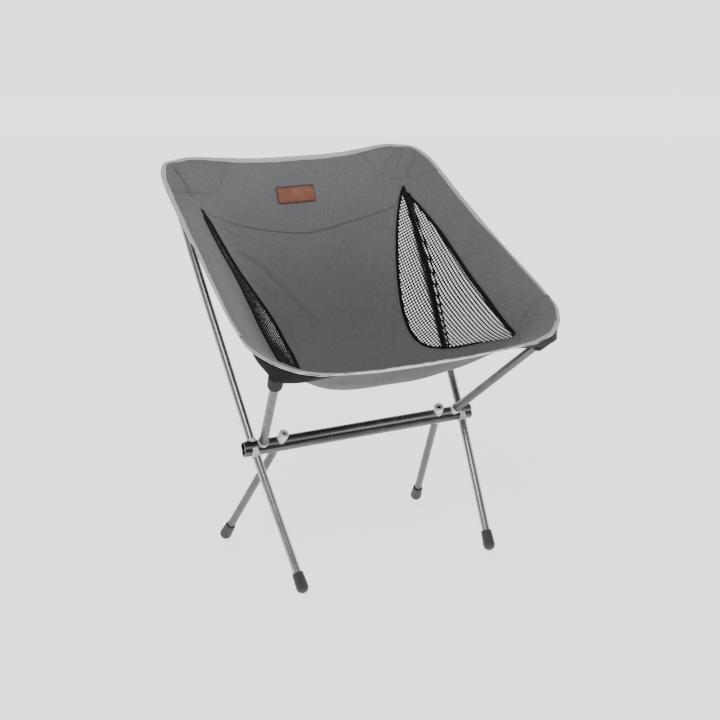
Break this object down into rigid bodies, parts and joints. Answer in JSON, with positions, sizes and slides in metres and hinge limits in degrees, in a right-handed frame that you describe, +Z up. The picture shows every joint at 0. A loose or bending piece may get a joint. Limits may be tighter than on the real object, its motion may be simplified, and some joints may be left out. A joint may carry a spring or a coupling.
{
  "type": "ultralight backpacking chair",
  "caption": "Collapsible low camp chair: shock-corded tube poles plug into one crossbar and hold a fabric bucket seat by pockets over their tips.",
  "frame": {"origin": "on the ground, at the middle of the chair's footprint box", "axes": "+Z up; +Y towards the back; the sitter faces -Y; left and right are at -X and +X"},
  "size_m": [0.5682, 0.4999, 0.6559],
  "materials": {
    "anodised": "black anodised extrusion, satin",
    "polished": "dark grey anodised tube, glossy with fine streaks along it",
    "satin": "dark grey anodised tube, satin",
    "bushing": "pale moulded nylon",
    "rubber": "black moulded rubber",
    "cord": "black braided elastic cord",
    "cloth": "grey melange woven polyester with upright slubs",
    "mesh": "black open polyester mesh",
    "webbing": "black woven tape",
    "binding": "warm light grey folded binding tape",
    "leather": "brown leather, blank, with a stitched edge"
  },
  "bodies": {
    "bar_and_sling": {"crossbar": "anodised", "rear_upright_bushing_left": "bushing", "front_leg_bushing_left": "bushing", "front_upright_socket_left": "bushing", "rear_leg_socket_left": "bushing", "long_shock_cord_left": "cord", "front_shock_cord_left": "cord", "rear_shock_cord_left": "cord", "mesh_panel_left": "mesh", "side_panel_left": "cloth", "seam_tape_left": "webbing", "binding_side_left": "binding", "rear_upright_bushing_right": "bushing", "front_leg_bushing_right": "bushing", "front_upright_socket_right": "bushing", "rear_leg_socket_right": "bushing", "long_shock_cord_right": "cord", "front_shock_cord_right": "cord", "rear_shock_cord_right": "cord", "mesh_panel_right": "mesh", "side_panel_right": "cloth", "seam_tape_right": "webbing", "binding_side_right": "binding", "back_panel": "cloth", "seat_panel": "cloth", "leather_patch": "leather", "binding_top": "binding", "binding_front": "binding"},
    "front_leg_left": {"front_leg_left": "polished", "front_foot_left": "rubber"},
    "rear_leg_left": {"rear_leg_left": "satin", "rear_foot_left": "rubber"},
    "rear_upright_left": {"rear_upright_lower_left": "polished", "ferrule_left": "satin", "rear_upright_upper_left": "polished", "rear_tip_left": "rubber"},
    "front_upright_left": {"front_upright_left": "satin", "front_tip_left": "rubber"},
    "rear_pocket_left": {"rear_pocket_left": "webbing", "rear_corner_left": "cloth", "binding_rear_corner_left": "binding"},
    "front_pocket_left": {"front_pocket_left": "webbing", "front_corner_left": "cloth", "binding_front_corner_left": "binding"},
    "front_leg_right": {"front_leg_right": "polished", "front_foot_right": "rubber"},
    "rear_leg_right": {"rear_leg_right": "satin", "rear_foot_right": "rubber"},
    "rear_upright_right": {"rear_upright_lower_right": "polished", "ferrule_right": "satin", "rear_upright_upper_right": "polished", "rear_tip_right": "rubber"},
    "front_upright_right": {"front_upright_right": "satin", "front_tip_right": "rubber"},
    "rear_pocket_right": {"rear_pocket_right": "webbing", "rear_corner_right": "cloth", "binding_rear_corner_right": "binding"},
    "front_pocket_right": {"front_pocket_right": "webbing", "front_corner_right": "cloth", "binding_front_corner_right": "binding"}
  },
  "joints": [
    {"name": "front_leg_pull_left", "type": "slide", "parent": "bar_and_sling", "child": "front_leg_left", "axis": [0.0895, -0.541, -0.8362], "range_m": [0, 0.012], "stiffness_N_per_m": 120, "springref_m": -0.05},
    {"name": "rear_leg_pull_left", "type": "slide", "parent": "bar_and_sling", "child": "rear_leg_left", "axis": [-0.1688, 0.5475, -0.8196], "range_m": [0, 0.03], "stiffness_N_per_m": 120, "springref_m": -0.05},
    {"name": "rear_upright_pull_left", "type": "slide", "parent": "bar_and_sling", "child": "rear_upright_left", "axis": [-0.0536, 0.5448, 0.8369], "range_m": [0, 0.012], "stiffness_N_per_m": 120, "springref_m": -0.05},
    {"name": "front_upright_pull_left", "type": "slide", "parent": "bar_and_sling", "child": "front_upright_left", "axis": [-0.2402, -0.7168, 0.6546], "range_m": [0, 0.012], "stiffness_N_per_m": 120, "springref_m": -0.05},
    {"name": "rear_pocket_ride_left", "type": "slide", "parent": "bar_and_sling", "child": "rear_pocket_left", "axis": [-0.0536, 0.5448, 0.8369], "range_m": [0, 0.012]},
    {"name": "front_pocket_ride_left", "type": "slide", "parent": "bar_and_sling", "child": "front_pocket_left", "axis": [-0.2402, -0.7168, 0.6546], "range_m": [0, 0.012]},
    {"name": "front_leg_pull_right", "type": "slide", "parent": "bar_and_sling", "child": "front_leg_right", "axis": [-0.0895, -0.541, -0.8362], "range_m": [0, 0.012], "stiffness_N_per_m": 120, "springref_m": -0.05},
    {"name": "rear_leg_pull_right", "type": "slide", "parent": "bar_and_sling", "child": "rear_leg_right", "axis": [0.1688, 0.5475, -0.8196], "range_m": [0, 0.03], "stiffness_N_per_m": 120, "springref_m": -0.05},
    {"name": "rear_upright_pull_right", "type": "slide", "parent": "bar_and_sling", "child": "rear_upright_right", "axis": [0.0536, 0.5448, 0.8369], "range_m": [0, 0.012], "stiffness_N_per_m": 120, "springref_m": -0.05},
    {"name": "front_upright_pull_right", "type": "slide", "parent": "bar_and_sling", "child": "front_upright_right", "axis": [0.2402, -0.7168, 0.6546], "range_m": [0, 0.012], "stiffness_N_per_m": 120, "springref_m": -0.05},
    {"name": "rear_pocket_ride_right", "type": "slide", "parent": "bar_and_sling", "child": "rear_pocket_right", "axis": [0.0536, 0.5448, 0.8369], "range_m": [0, 0.012]},
    {"name": "front_pocket_ride_right", "type": "slide", "parent": "bar_and_sling", "child": "front_pocket_right", "axis": [0.2402, -0.7168, 0.6546], "range_m": [0, 0.012]}
  ],
  "couplings": [
    {"joint": "rear_pocket_ride_left", "follows": "rear_upright_pull_left", "ratio": 1},
    {"joint": "front_pocket_ride_left", "follows": "front_upright_pull_left", "ratio": 1},
    {"joint": "rear_pocket_ride_right", "follows": "rear_upright_pull_right", "ratio": 1},
    {"joint": "front_pocket_ride_right", "follows": "front_upright_pull_right", "ratio": 1}
  ]
}
